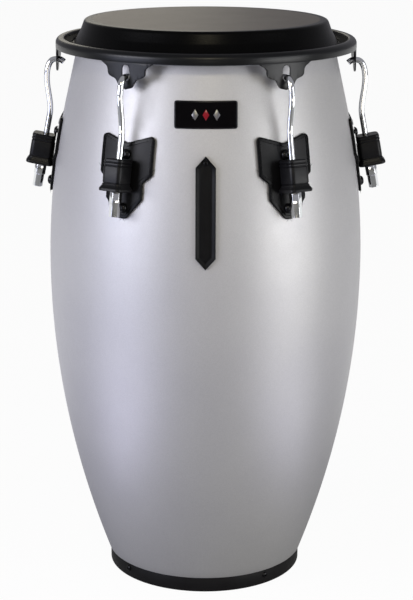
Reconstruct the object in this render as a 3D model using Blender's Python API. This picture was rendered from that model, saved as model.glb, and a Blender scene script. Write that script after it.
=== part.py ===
"""A conga drum: fibreglass shell, steel rim, tuning hooks, lugs and head.

Metres, +Z up, origin on the floor at the middle of the foot. The front of the drum faces -Y.
"""
import math

import bmesh
import bpy
from mathutils import Matrix, Vector

# Clearances and facets
seat_gap = 0.0003           # left between pieces that touch
wall_gap = 0.0004           # left between a curved plate and the faceted shell under it
running_gap = 0.0005        # left round a rod that slides
backing_gap = 0.0010        # left between a backing plate and the faceted wall outside it
hole_gap = 0.0004           # left round a bolt in its hole
cut_margin = 0.0040         # how far a hole's cutter runs past the piece
ring_steps = 54             # facets round the drum
wall_rings = 12             # facets up the curved part of the wall
round_sides = 8             # facets round a bolt or a screw

# Shell
total_height = 0.762        # floor to playing surface, 30 in
belly_radius = 0.2116
belly_height = 0.435
foot_radius = 0.1353        # where the shell meets the band
neck_drop = 0.102           # below the playing surface: the curve runs out into a straight taper
wall_top_drop = 0.022       # below the playing surface: the bearing edge starts to turn in
bearing_radius = 0.1569     # crest of the bearing edge
bearing_spread = 0.0039     # from the crest out to the foot of its rounding
bearing_round = 0.0035      # height of that rounding
cone_spread = 0.006825      # from the rounding's foot out to the wall
crest_width = 0.0036        # from the crest in to the inner wall
crest_fall = 0.0042         # slope from the crest down to the inner wall
shell_wall = 0.006

# Band round the foot
band_height = 0.0204
band_radius = 0.1334
band_wall = 0.0025
band_floor = 0.0030         # thickness of the inward lip that stands on the floor
spigot_wall = 0.0050        # the shell's wall inside the band
screw_height = 0.0125
screw_count = 4
screw_start = math.radians(38.5)
screw_radius = 0.0020
screw_head_radius = 0.0042
screw_head_height = 0.0022

# Drum skin and flesh hoop
skin_thickness = 0.0012
collar_bend_rise = 0.0065    # above the wall's top: the collar leaves the bearing edge and flares out
collar_gap = 0.0012          # from the wall's top to the flared collar
lip_drop = 0.0081            # below the wall's top: the upper face of the skin's turned-out edge
lip_width = 0.0105           # that edge, pressed between rim and hoop
hoop_height = 0.0080
hoop_bevel = 0.0015

# Rim
rim_sheet = 0.0025
roll_radius = 0.0072         # rolled top of the rim
roll_turn = math.radians(125)
roll_drop = 0.0006           # the roll's centre below the flange
roll_gap = 0.0024            # from the skin's lip to the rim's inner wall
flange_gap = 0.0022          # from the collar's foot to the flange's inner edge
flange_bend = 0.0015         # rounding between the flange and the roll
skirt_height = 0.0066        # straight outer wall under the roll

# Ears of the rim, as half widths and depths below the skirt's edge
ear_root = 0.0380
ear_side = 0.0278
ear_side_drop = 0.0060
ear_shoulder = 0.0268
ear_shoulder_drop = 0.0165
ear_waist = 0.0150
ear_waist_drop = 0.0205
ear_tip = 0.0095
ear_tip_drop = 0.0305
ear_depth = 0.0331
ear_round = 0.0060
ear_overlap = 0.0020         # part of the ear that lies inside the skirt
ear_inset = 0.00015          # the ear is this much inside the skirt's two faces
slot_width = 0.0110
slot_top_drop = 0.0024
slot_bottom_drop = 0.0218

# Tuning hooks
lug_count = 6
lug_start = math.radians(30)
hook_radius = 0.0040
hook_tip_reach = 0.0090      # how far the hook's end lies inside the ear
hook_tip_drop = 0.0037
hook_tip_slope = 0.8         # fall of the hook's end per metre inward
hook_flat = 0.0040           # level run that bears on the ear
arch_width = 0.0118
arch_height = 0.0175
arch_lean = 0.15             # inward lean of the arch's foot per metre of rise
arch_fullness = 1.15         # how far the arch bulges, 1 for a plain curve
thread_end = 0.0400          # rod below the lug's middle, along the rod

# Lug bodies, as heights along the rod and half widths
lug_drop = 0.1770            # the lug body's middle, below the playing surface
shank_standoff = 0.0147      # rod axis to side plate
shank_lean = math.radians(2.3)
shank_rise = 0.0490          # straight rod above the lug's middle
lug_width = 0.0240
lug_inner_depth = 0.0118
lug_outer_depth = 0.0160
lug_top = 0.0225
lug_flare_start = 0.0100     # below the lug's middle
lug_flare_end = 0.0148
lug_bottom = 0.0180
lug_flare = 0.0026
lug_corner = 0.0050
lug_top_bevel = 0.0020
web_width = 0.0140           # web between the lug body and its plate
web_top = 0.0130
web_bottom = 0.0090

# Tuning nuts
nut_collar_radius = 0.0078   # over the corners
nut_collar_length = 0.0145
nut_radius = 0.0068
nut_length = 0.0315

# Side plates, as half widths, and heights above or below the lug body's middle
plate_thickness = 0.0036
plate_wing = 0.0378
plate_wing_top_rise = 0.0515
plate_notch_rise = 0.0400
plate_wing_bottom_rise = 0.0015
plate_waist = 0.0260
plate_waist_top_drop = 0.0084
plate_waist_bottom_drop = 0.0295
plate_tip = 0.0050
plate_tip_drop = 0.0543
plate_corner = 0.0065

# Bolts and backing plates
bolt_radius = 0.0030
bolt_head_radius = 0.0065
bolt_head_height = 0.0040
dome_turn = math.radians(62)  # how far round a screw head's dome goes before its flat top
upper_bolt_rise = 0.0255      # above the lug body's middle
lower_bolt_drop = 0.0410
bolt_end = 0.0020             # thread showing inside the backing plate
backing_thickness = 0.0030
backing_width = 0.0340
backing_margin = 0.0120       # backing plate beyond its bolts

# Badge
badge_width = 0.0790
badge_height = 0.0339
badge_thickness = 0.0012
badge_corner = 0.0030
badge_drop = 0.0992          # the badge's middle, below the playing surface

# Shell protector
protector_width = 0.0250
protector_depth = 0.0062
protector_edge = 0.0035      # height of the upright side under the chamfer
protector_chamfer = 0.0050
protector_gap = 0.03285      # from the badge down to its upper point
protector_length = 0.1410
protector_point = 0.0140     # length of each pointed end
protector_screw_drop = 0.0085
protector_screw_radius = 0.0015
protector_head_radius = 0.0030
protector_head_height = 0.0014

# Heights and radii that hang from the playing surface and the bearing edge
neck_height = total_height - neck_drop
wall_top = total_height - wall_top_drop
cone_radius = bearing_radius + bearing_spread
wall_top_radius = cone_radius + cone_spread
lug_height = total_height - lug_drop
upper_bolt_height = lug_height + upper_bolt_rise
lower_bolt_height = lug_height - lower_bolt_drop
badge_middle = total_height - badge_drop
badge_bottom = badge_middle - badge_height / 2

# Curve of the wall: a parabola below the belly, another up to the neck, and a straight taper above
neck_rise = neck_height - belly_height
lower_bow = (belly_radius - foot_radius) / (belly_height - band_height) ** 2
upper_bow = (belly_radius - wall_top_radius) / (neck_rise ** 2 + 2 * neck_rise * (wall_top - neck_height))
neck_radius = belly_radius - upper_bow * neck_rise ** 2
neck_slope = -2 * upper_bow * neck_rise
facet = math.tau / ring_steps


def shell_radius(z):
    """Outer radius of the shell below the bearing edge."""
    if z < belly_height:
        return belly_radius - lower_bow * (belly_height - z) ** 2
    if z < neck_height:
        return belly_radius - upper_bow * (z - belly_height) ** 2
    return neck_radius + neck_slope * (z - neck_height)


def shell_slope(z):
    """Outward lean of the shell's wall per metre of height."""
    if z < belly_height:
        return 2 * lower_bow * (belly_height - z)
    if z < neck_height:
        return -2 * upper_bow * (z - belly_height)
    return neck_slope


def wall_lean(z):
    """How far the wall's outward normal points above the horizon."""
    return math.atan(-shell_slope(z))


# Foot: the band, and the shell's spigot inside it
band_inner = band_radius - band_wall
spigot_outer = band_inner - seat_gap
spigot_inner = spigot_outer - spigot_wall

# Bearing edge, skin, hoop and rim, from the crest down and out
crest_height = total_height - skin_thickness - seat_gap
cone_top = crest_height - bearing_round
cone_slope = cone_spread / (cone_top - wall_top)
collar_bend_height = wall_top + collar_bend_rise
collar_bend_radius = cone_radius + (cone_top - collar_bend_height) * cone_slope + seat_gap
collar_slope = (wall_top_radius + collar_gap - collar_bend_radius) / collar_bend_rise
lip_height = wall_top - lip_drop
lip_bottom = lip_height - skin_thickness
collar_foot_radius = collar_bend_radius + (collar_bend_height - lip_bottom) * collar_slope
lip_radius = collar_foot_radius + skin_thickness + lip_width
hoop_inner = collar_foot_radius + skin_thickness + seat_gap
hoop_top = lip_bottom - seat_gap
flange_bottom = lip_height + seat_gap
flange_inner = collar_foot_radius + skin_thickness + flange_gap
rim_inner_wall = lip_radius + roll_gap
rim_radius = rim_inner_wall + roll_radius * (1 - math.cos(roll_turn))
roll_height = flange_bottom - roll_drop
skirt_bottom = roll_height - skirt_height
ear_outer = rim_radius - ear_inset
ear_inner = rim_radius - rim_sheet + ear_inset
slot_bottom = skirt_bottom - slot_bottom_drop

# Plates, lugs and hooks, from the wall out
plate_front = wall_gap + plate_thickness
shank_tilt = wall_lean(lug_height) + shank_lean
lug_radius = shell_radius(lug_height) + plate_front + shank_standoff
hook_seat = slot_bottom + seat_gap + hook_radius
hook_seat_radius = (ear_inner + ear_outer) / 2
rod_hole = hook_radius + running_gap
hole_reach = shell_wall + backing_gap + backing_thickness + plate_front + cut_margin
protector_top = badge_bottom - protector_gap
protector_bottom = protector_top - protector_length
protector_screw_height = protector_top - protector_screw_drop


def remove_everything():
    for item in list(bpy.data.objects):
        bpy.data.objects.remove(item)


def finish(name, colour, roughness, metallic=0.0):
    """A plain material for one sub-part."""
    made = bpy.data.materials.new(name)
    made.use_nodes = True
    shader = made.node_tree.nodes["Principled BSDF"]
    shader.inputs["Base Color"].default_value = (*colour, 1.0)
    shader.inputs["Roughness"].default_value = roughness
    shader.inputs["Metallic"].default_value = metallic
    return made


def add_object(name, mesh, material, parent=None):
    made = bpy.data.objects.new(name, mesh)
    bpy.context.scene.collection.objects.link(made)
    if not mesh.materials:
        mesh.materials.append(material)
    made.parent = parent
    return made


def to_mesh(name, bm, smooth_angle=math.radians(35)):
    """Turn a bmesh into a mesh with its faces pointing out."""
    bmesh.ops.remove_doubles(bm, verts=bm.verts, dist=1e-6)
    bmesh.ops.recalc_face_normals(bm, faces=bm.faces)
    mesh = bpy.data.meshes.new(name)
    bm.to_mesh(mesh)
    bm.free()
    mesh.shade_smooth()
    mesh.set_sharp_from_angle(angle=smooth_angle)
    return mesh


def combine(mesh, cutter, operation):
    """The mesh with a cutter mesh joined to it or taken from it."""
    body = bpy.data.objects.new("body", mesh)
    tool = bpy.data.objects.new("tool", cutter)
    for item in (body, tool):
        bpy.context.scene.collection.objects.link(item)
    change = body.modifiers.new("combine", "BOOLEAN")
    change.operation = operation
    change.object = tool
    graph = bpy.context.evaluated_depsgraph_get()
    result = bpy.data.meshes.new_from_object(body.evaluated_get(graph))
    result.name = mesh.name
    for item in (body, tool):
        bpy.data.objects.remove(item)
    return result


def spin_line(bm, points, closed, steps):
    """Turn a line of (radius, height) points round the z axis."""
    verts = [bm.verts.new((0.0, -r, z)) for r, z in points]
    edges = [bm.edges.new((a, b)) for a, b in zip(verts, verts[1:])]
    if closed:
        edges.append(bm.edges.new((verts[-1], verts[0])))
    bmesh.ops.spin(
        bm, geom=verts + edges, cent=(0, 0, 0), axis=(0, 0, 1),
        angle=math.tau, steps=steps, use_merge=True,
    )


def turned(name, profile):
    """A ring whose section is a closed (radius, height) profile."""
    bm = bmesh.new()
    spin_line(bm, profile, True, ring_steps)
    return to_mesh(name, bm)


def arc(centre_r, centre_z, radius, start, end, steps):
    """Points of an arc in the (radius, height) plane, with its angles counted up from outward."""
    points = []
    for i in range(steps + 1):
        angle = start + (end - start) * i / steps
        points.append((centre_r + radius * math.cos(angle), centre_z + radius * math.sin(angle)))
    return points


def parallel(points, distance):
    """The line moved sideways to its left, with mitred corners."""
    moved = []
    for i, point in enumerate(points):
        here = Vector(point)
        before = Vector(points[i - 1]) if i > 0 else None
        after = Vector(points[i + 1]) if i + 1 < len(points) else None
        runs = []
        if before is not None:
            runs.append((here - before).normalized())
        if after is not None:
            runs.append((after - here).normalized())
        first, last = runs[0].orthogonal(), runs[-1].orthogonal()
        moved.append(tuple(here + (first + last) * (distance / (1 + first.dot(last)))))
    return moved


def flat_solid(outline, holes, thickness, cuts_u=(), cuts_z=()):
    """A flat outline with holes in the (x, z) plane, thickened towards -Y, and cut so that it can bend."""
    bm = bmesh.new()
    for loop in [outline, *holes]:
        verts = [bm.verts.new((u, 0.0, z)) for u, z in loop]
        for a, b in zip(verts, verts[1:] + verts[:1]):
            bm.edges.new((a, b))
    if holes:
        bmesh.ops.triangle_fill(bm, use_beauty=True, edges=bm.edges)
    else:
        bm.faces.new(bm.verts)
    grown = bmesh.ops.extrude_face_region(bm, geom=bm.faces[:])
    moved = [item for item in grown["geom"] if isinstance(item, bmesh.types.BMVert)]
    bmesh.ops.translate(bm, vec=(0.0, -thickness, 0.0), verts=moved)
    slice_flat(bm, cuts_u, cuts_z)
    return bm


def slice_flat(bm, cuts_u, cuts_z):
    """Add edge loops at these places along x and z."""
    planes = [((u, 0, 0), (1, 0, 0)) for u in cuts_u]
    planes += [((0, 0, z), (0, 0, 1)) for z in cuts_z]
    for place, normal in planes:
        everything = bm.verts[:] + bm.edges[:] + bm.faces[:]
        bmesh.ops.bisect_plane(bm, geom=everything, dist=1e-6, plane_co=place, plane_no=normal)


def wrap(bm, outset):
    """Bend a flat solid round the shell's front: x runs along the arc and -y stands off the surface."""
    for vert in bm.verts:
        surface = shell_radius(vert.co.z)
        around = vert.co.x / surface
        reach = surface + outset - vert.co.y
        vert.co = Vector((reach * math.sin(around), -reach * math.cos(around), vert.co.z))


def steps_between(low, high, count):
    """Cut heights that divide a stretch evenly."""
    return [low + (high - low) * i / count for i in range(1, count)]


def rounded(corners, steps):
    """An outline whose corners (u, z, radius) are rounded."""
    points = []
    for i, (u, z, radius) in enumerate(corners):
        corner = Vector((u, z))
        if radius <= 0:
            points.append((u, z))
            continue
        before = Vector(corners[i - 1][:2]) - corner
        after = Vector(corners[(i + 1) % len(corners)][:2]) - corner
        half = before.angle(after) / 2
        # neighbouring corners share a side, so a rounding stays within its half of it
        reach = min(radius / math.tan(half), before.length / 2.1, after.length / 2.1)
        start = corner + before.normalized() * reach
        end = corner + after.normalized() * reach
        for k in range(steps + 1):
            t = k / steps
            point = start * (1 - t) ** 2 + corner * 2 * t * (1 - t) + end * t ** 2
            points.append((point.x, point.y))
    return points


def mirrored(half):
    """A whole outline from the half with u >= 0, listed from the middle of the top to the middle of the bottom."""
    return half + [(-u, z, radius) for u, z, radius in reversed(half) if u > 0]


def rod(bm, radius, low, high, sides, place=Matrix()):
    """A prism along the local z axis, with its ends at low and high."""
    middle = Matrix.Translation((0, 0, (low + high) / 2))
    bmesh.ops.create_cone(
        bm, cap_ends=True, segments=sides, radius1=radius, radius2=radius,
        depth=high - low, matrix=place @ middle,
    )


def level_out(z, angle):
    """Frame on the drum's axis at this height, with local z pointing out level at this angle."""
    out = Matrix.Rotation(math.radians(90), 4, "X")
    return Matrix.Rotation(angle, 4, "Z") @ Matrix.Translation((0, 0, z)) @ out


def on_wall(z, angle=0.0, stand_off=0.0):
    """Frame on the wall at this height, with local z along the outward normal; stand_off is level."""
    lean = wall_lean(z)
    out = Matrix.Rotation(math.radians(90) - lean, 4, "X")
    along = Matrix.Translation((0, 0, stand_off * math.cos(lean)))
    return Matrix.Rotation(angle, 4, "Z") @ Matrix.Translation((0, -shell_radius(z), z)) @ out @ along


def lug_angle(number):
    return lug_start + math.tau * number / lug_count


def screw_angle(number):
    return screw_start + math.tau * number / screw_count


def screw(name, shank_radius, shank_length, head_radius, head_height):
    """A domed screw along local z: the head stands above z = 0 and the shank runs down from it."""
    profile = [(0.0, -shank_length), (shank_radius, -shank_length), (shank_radius, 0.0)]
    steps = 2
    for i in range(steps + 1):
        angle = dome_turn * i / steps
        profile.append((head_radius * math.cos(angle), head_height * math.sin(angle) / math.sin(dome_turn)))
    profile.append((0.0, head_height))
    bm = bmesh.new()
    spin_line(bm, profile, False, round_sides)
    return to_mesh(name, bm)


def crest_line(gap):
    """Rounding of the bearing edge from its foot up to the crest, at this gap outside it."""
    points = []
    steps = 2
    for i in range(steps + 1):
        angle = math.radians(90) * i / steps
        reach = cone_radius - bearing_radius + gap
        points.append((bearing_radius + reach * math.cos(angle), cone_top + (bearing_round + gap) * math.sin(angle)))
    return points


def make_shell():
    """Barrel wall with its bearing edge, foot spigot and fastener holes."""
    spigot_bottom = band_floor + seat_gap
    shoulder = band_height + seat_gap
    heights = [shoulder, *steps_between(band_height, neck_height, wall_rings), neck_height, wall_top]
    outer = [(spigot_outer, spigot_bottom), (spigot_outer, shoulder)]
    outer += [(shell_radius(z), z) for z in heights]
    outer += crest_line(0.0)
    inner = [(bearing_radius - crest_width, crest_height - crest_fall)]
    # below the belly the inside needs fewer rings
    plain = [z for i, z in enumerate(heights[1:]) if i % 2 or z > belly_height]
    inner += [(shell_radius(z) - shell_wall, z) for z in reversed(plain)]
    inner += [(spigot_inner, band_height + shell_wall), (spigot_inner, spigot_bottom)]
    wall = turned("shell", outer + inner)

    cutter = bmesh.new()
    for number in range(lug_count):
        for z in (upper_bolt_height, lower_bolt_height):
            place = on_wall(z, lug_angle(number))
            rod(cutter, bolt_radius + hole_gap, -hole_reach, hole_reach, round_sides, place)
    place = on_wall(protector_screw_height)
    rod(cutter, protector_screw_radius + hole_gap, -hole_reach, hole_reach, round_sides, place)
    for number in range(screw_count):
        place = level_out(screw_height, screw_angle(number))
        rod(cutter, screw_radius + hole_gap, spigot_inner - cut_margin, spigot_outer + cut_margin,
            round_sides, place)
    wall = combine(wall, to_mesh("holes", cutter), "DIFFERENCE")
    add_object("shell", wall, finish("silver lacquer", (0.46, 0.45, 0.46), 0.32, 0.75))


def make_base_band():
    """Steel band with an inward lip that the drum stands on, and its screws."""
    lip = spigot_inner
    profile = [
        (lip, 0.0), (band_radius, 0.0), (band_radius, band_height),
        (band_inner, band_height), (band_inner, band_floor), (lip, band_floor),
    ]
    band = turned("base_band", profile)
    cutter = bmesh.new()
    for number in range(screw_count):
        place = level_out(screw_height, screw_angle(number))
        rod(cutter, screw_radius + hole_gap, band_inner - cut_margin, band_radius + cut_margin,
            round_sides, place)
    band = combine(band, to_mesh("holes", cutter), "DIFFERENCE")
    add_object("base_band", band, finish("black band steel", (0.012, 0.012, 0.014), 0.35))

    shank = band_wall + spigot_wall + seat_gap
    mesh = screw("base_screw", screw_radius, shank, screw_head_radius, screw_head_height)
    black = finish("black screw", (0.02, 0.02, 0.02), 0.4, 0.5)
    for number in range(screw_count):
        made = add_object(f"base_screw_{number + 1}", mesh, black)
        seat = Matrix.Translation((0, 0, band_radius + seat_gap))
        made.matrix_world = level_out(screw_height, screw_angle(number)) @ seat


def make_drum_skin():
    """Flat skin, rounded over the bearing edge, with a flared collar and a turned-out lip."""
    under = [(0.0, crest_height + seat_gap)]
    under += reversed(crest_line(seat_gap))
    under += [(collar_bend_radius, collar_bend_height), (collar_foot_radius, lip_bottom)]
    under += [(lip_radius, lip_bottom)]
    over = parallel(under, skin_thickness)
    bm = bmesh.new()
    spin_line(bm, under + over[::-1], False, ring_steps)
    add_object("drum_skin", to_mesh("drum_skin", bm), finish("black head film", (0.035, 0.033, 0.031), 0.5))


def make_flesh_hoop():
    """Ring under the skin's lip that the rim pulls down."""
    bottom = hoop_top - hoop_height
    profile = [
        (hoop_inner, bottom + hoop_bevel), (hoop_inner + hoop_bevel, bottom), (lip_radius - hoop_bevel, bottom),
        (lip_radius, bottom + hoop_bevel), (lip_radius, hoop_top), (hoop_inner, hoop_top),
    ]
    add_object("flesh_hoop", turned("flesh_hoop", profile), finish("hoop alloy", (0.55, 0.55, 0.56), 0.45, 1.0))


def rim_profile():
    """Section of the rolled rim: outer skirt, rolled top and inward flange, one sheet thick."""
    centre = rim_radius - roll_radius
    outer = [(rim_radius, skirt_bottom), *arc(centre, roll_height, roll_radius, 0, roll_turn, 5)]
    flange_top = flange_bottom + rim_sheet
    inner = [
        (rim_inner_wall, flange_top), (flange_inner, flange_top),
        (flange_inner, flange_bottom), (rim_inner_wall + flange_bend, flange_bottom),
    ]
    under = arc(centre, roll_height, roll_radius - rim_sheet, roll_turn, 0, 3)
    return outer + inner + under + [(rim_radius - rim_sheet, skirt_bottom)]


def ear_outline():
    """Scalloped shield, listed from the top middle round the right side to the bottom."""
    top = skirt_bottom + ear_overlap
    half = [
        (0.0, top, 0),
        (ear_root, top, 0),
        (ear_root, skirt_bottom, 0),
        (ear_side, skirt_bottom - ear_side_drop, ear_round),
        (ear_shoulder, skirt_bottom - ear_shoulder_drop, ear_round),
        (ear_waist, skirt_bottom - ear_waist_drop, ear_round),
        (ear_tip, skirt_bottom - ear_tip_drop, ear_round),
        (0.0, skirt_bottom - ear_depth, 0),
    ]
    return rounded(mirrored(half), 3)


def slot_outline():
    """Upright slot with round ends."""
    half = slot_width / 2
    top = skirt_bottom - slot_top_drop - half
    bottom = slot_bottom + half
    return arc(0.0, top, half, 0, math.pi, 6) + arc(0.0, bottom, half, math.pi, math.tau, 6)


def make_rim():
    """Rolled ring and its six ears, one piece of steel."""
    ring = turned("rim", rim_profile())
    half_chord = rim_radius * math.sin(facet / 2)
    folds = [half_chord * k for k in (-3, -1, 1, 3)]
    ears = bmesh.new()
    for number in range(lug_count):
        ear = flat_solid(ear_outline(), [slot_outline()], ear_outer - ear_inner, folds)
        fold_to_facets(ear, half_chord)
        bmesh.ops.rotate(
            ear, cent=(0, 0, 0), matrix=Matrix.Rotation(lug_angle(number), 3, "Z"), verts=ear.verts)
        bmesh.ops.recalc_face_normals(ear, faces=ear.faces)
        piece = bpy.data.meshes.new("ear")
        ear.to_mesh(piece)
        ear.free()
        ears.from_mesh(piece)
    ring = combine(ring, to_mesh("ears", ears), "UNION")
    add_object("rim", ring, finish("black powder coat", (0.018, 0.019, 0.023), 0.42))


def fold_to_facets(bm, half_chord):
    """Fold a flat ear along its cut lines, so that it lies in the ring's own facets."""
    apothem = half_chord / math.tan(facet / 2)
    inner_apothem = apothem - (rim_radius - ear_inner) * math.cos(facet / 2)
    for vert in bm.verts:
        number = round(vert.co.x / (2 * half_chord))
        along = vert.co.x - 2 * half_chord * number
        reach = inner_apothem - vert.co.y
        edge_share = along / half_chord
        x = along + edge_share * (reach - apothem) * math.tan(facet / 2)
        vert.co = Matrix.Rotation(facet * number, 3, "Z") @ Vector((x, -reach, vert.co.z))


def curve_between(start, leaving, end, arriving, steps, fullness=1.0):
    """Points of a smooth curve from start to end, without the start itself."""
    pull = (end - start).length * fullness
    points = []
    for i in range(1, steps + 1):
        t = i / steps
        points.append(
            start * (2 * t ** 3 - 3 * t ** 2 + 1)
            + leaving * pull * (t ** 3 - 2 * t ** 2 + t)
            + end * (3 * t ** 2 - 2 * t ** 3)
            + arriving * pull * (t ** 3 - t ** 2)
        )
    return points


def hook_path():
    """Centre line of a tuning hook, as (radius, height) points from its threaded end to its tip."""
    up_shank = Vector((-math.sin(shank_tilt), math.cos(shank_tilt)))
    up_arch = Vector((-arch_lean, 1.0)).normalized()
    inward = Vector((-1.0, 0.0))
    into_shell = Vector((-1.0, -hook_tip_slope)).normalized()
    middle = Vector((lug_radius, lug_height))
    bottom = middle - up_shank * thread_end
    straight_end = middle + up_shank * shank_rise
    seat_out = Vector((hook_seat_radius + hook_flat / 2, hook_seat))
    seat_in = Vector((hook_seat_radius - hook_flat / 2, hook_seat))
    arch_foot = seat_out + Vector((arch_width, -arch_height))
    tip = Vector((hook_seat_radius - hook_tip_reach, hook_seat - hook_tip_drop))
    points = [bottom, middle, straight_end]
    points += curve_between(straight_end, up_shank, arch_foot, up_arch, 6)
    points += curve_between(arch_foot, up_arch, seat_out, inward, 5, arch_fullness)
    points.append(seat_in)
    points += curve_between(seat_in, inward, tip, into_shell, 3)
    return points


def shank_frame():
    """Frame at the lug's middle, at the front of the drum: z up along the rod, -y outward."""
    return Matrix.Translation((0, -lug_radius, lug_height)) @ Matrix.Rotation(-shank_tilt, 4, "X")


def make_lug_axes():
    """One empty per lug, on its rod's axis: z up along the rod, -y outward."""
    lugs = []
    for number in range(lug_count):
        axis = bpy.data.objects.new(f"lug_axis_{number + 1}", None)
        bpy.context.scene.collection.objects.link(axis)
        axis.empty_display_size = lug_width
        axis.matrix_world = Matrix.Rotation(lug_angle(number), 4, "Z") @ shank_frame()
        lugs.append(axis)
    return lugs


def make_tuning_hooks(lugs):
    """Round rod bent over the ear, its thread inside the nut."""
    line = bpy.data.curves.new("tuning_hook", "CURVE")
    line.dimensions = "3D"
    line.bevel_depth = hook_radius
    line.bevel_resolution = 2
    line.use_fill_caps = True
    path = hook_path()
    spline = line.splines.new("POLY")
    spline.points.add(len(path) - 1)
    to_shank = shank_frame().inverted()
    for point, (r, z) in zip(spline.points, path):
        point.co = (*(to_shank @ Vector((0.0, -r, z))), 1.0)
    line.materials.append(finish("hook chrome", (0.72, 0.73, 0.75), 0.1, 1.0))
    for number, lug in enumerate(lugs):
        made = bpy.data.objects.new(f"tuning_hook_{number + 1}", line)
        bpy.context.scene.collection.objects.link(made)
        made.parent = lug


def make_tuning_nuts(lugs):
    """Hexagon nut with a larger collar against the lug body, bored right through."""
    top = -lug_bottom - seat_gap
    bm = bmesh.new()
    rod(bm, nut_collar_radius, top - nut_collar_length, top, 6)
    foot = min(bm.faces, key=lambda face: face.calc_center_median().z)
    step_in = (nut_collar_radius - nut_radius) * math.cos(math.pi / 6)
    bmesh.ops.inset_region(bm, faces=[foot], thickness=step_in, use_even_offset=True)
    grow(bm, foot, nut_collar_length - nut_length, 0.0)
    nut = to_mesh("tuning_nut", bm)
    bore = bmesh.new()
    sides = 12
    rod(bore, rod_hole / math.cos(math.pi / sides), top - nut_length - cut_margin, top + cut_margin, sides)
    nut = combine(nut, to_mesh("bore", bore), "DIFFERENCE")
    chrome = finish("nut chrome", (0.72, 0.73, 0.75), 0.12, 1.0)
    for number, lug in enumerate(lugs):
        add_object(f"tuning_nut_{number + 1}", nut, chrome, lug)


def grow(bm, face, rise, spread):
    """Extrude a face along z by rise and widen it by spread on every side; gives the new face."""
    grown = bmesh.ops.extrude_face_region(bm, geom=[face])
    moved = [item for item in grown["geom"] if isinstance(item, bmesh.types.BMVert)]
    new_face = next(item for item in grown["geom"] if isinstance(item, bmesh.types.BMFace))
    bmesh.ops.delete(bm, geom=[face], context="FACES_ONLY")
    centre = new_face.calc_center_median()
    reach_x = max(abs(vert.co.x - centre.x) for vert in moved)
    reach_y = max(abs(vert.co.y - centre.y) for vert in moved)
    for vert in moved:
        vert.co.x = centre.x + (vert.co.x - centre.x) * (1 + spread / reach_x)
        vert.co.y = centre.y + (vert.co.y - centre.y) * (1 + spread / reach_y)
        vert.co.z += rise
    return new_face


def lug_block():
    """Rounded block along the rod, with a bevelled top and a flared foot."""
    bm = bmesh.new()
    depth = lug_inner_depth + lug_outer_depth
    rise = lug_top - lug_top_bevel
    size = Matrix.Diagonal((lug_width, depth, rise + lug_flare_start, 1.0))
    middle = (0, (lug_inner_depth - lug_outer_depth) / 2, (rise - lug_flare_start) / 2)
    bmesh.ops.create_cube(bm, size=1.0, matrix=Matrix.Translation(middle) @ size)
    upright = [edge for edge in bm.edges if abs(edge.verts[0].co.z - edge.verts[1].co.z) > rise]
    bmesh.ops.bevel(
        bm, geom=upright, offset=lug_corner, segments=2, profile=0.5, affect="EDGES", material=-1,
    )
    top = max(bm.faces, key=lambda face: face.calc_center_median().z)
    grow(bm, top, lug_top_bevel, -lug_top_bevel)
    foot = min(bm.faces, key=lambda face: face.calc_center_median().z)
    foot = grow(bm, foot, lug_flare_start - lug_flare_end, lug_flare)
    grow(bm, foot, lug_flare_end - lug_bottom, 0.0)
    return to_mesh("lug_body", bm)


def lug_web():
    """Block from the lug body to its plate, whose end follows the plate's face."""
    bm = bmesh.new()
    middle = Matrix.Translation((0, lug_inner_depth, (web_top - web_bottom) / 2))
    size = Matrix.Diagonal((web_width, shank_standoff, web_top + web_bottom, 1.0))
    bmesh.ops.create_cube(bm, size=1.0, matrix=middle @ size)
    frame = shank_frame()
    back = frame.inverted()
    for vert in bm.verts:
        if vert.co.y > lug_inner_depth:
            place = frame @ vert.co
            place.y = -(shell_radius(place.z) + plate_front + seat_gap)
            vert.co = back @ place
    return to_mesh("web", bm)


def make_lug_bodies(lugs):
    """Block with a flared foot, joined by a narrow web to its plate, bored for the hook."""
    block = combine(lug_block(), lug_web(), "UNION")
    bore = bmesh.new()
    sides = 10
    rod(bore, rod_hole / math.cos(math.pi / sides), -lug_bottom - cut_margin, lug_top + cut_margin, sides)
    block = combine(block, to_mesh("bore", bore), "DIFFERENCE")
    black = finish("lug body black", (0.014, 0.014, 0.016), 0.5)
    for number, lug in enumerate(lugs):
        add_object(f"lug_body_{number + 1}", block, black, lug)


def plate_outline():
    """Winged plate with a notch in its top edge and a tapered foot."""
    half = [
        (0.0, plate_notch_rise, 0),
        (plate_wing, plate_wing_top_rise, plate_corner),
        (plate_wing, plate_wing_bottom_rise, 0),
        (plate_waist, -plate_waist_top_drop, 0),
        (plate_waist, -plate_waist_bottom_drop, 0),
        (plate_tip, -plate_tip_drop, 0),
        (0.0, -plate_tip_drop, 0),
    ]
    return [(u, lug_height + rise) for u, rise in rounded(mirrored(half), 2)]


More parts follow.
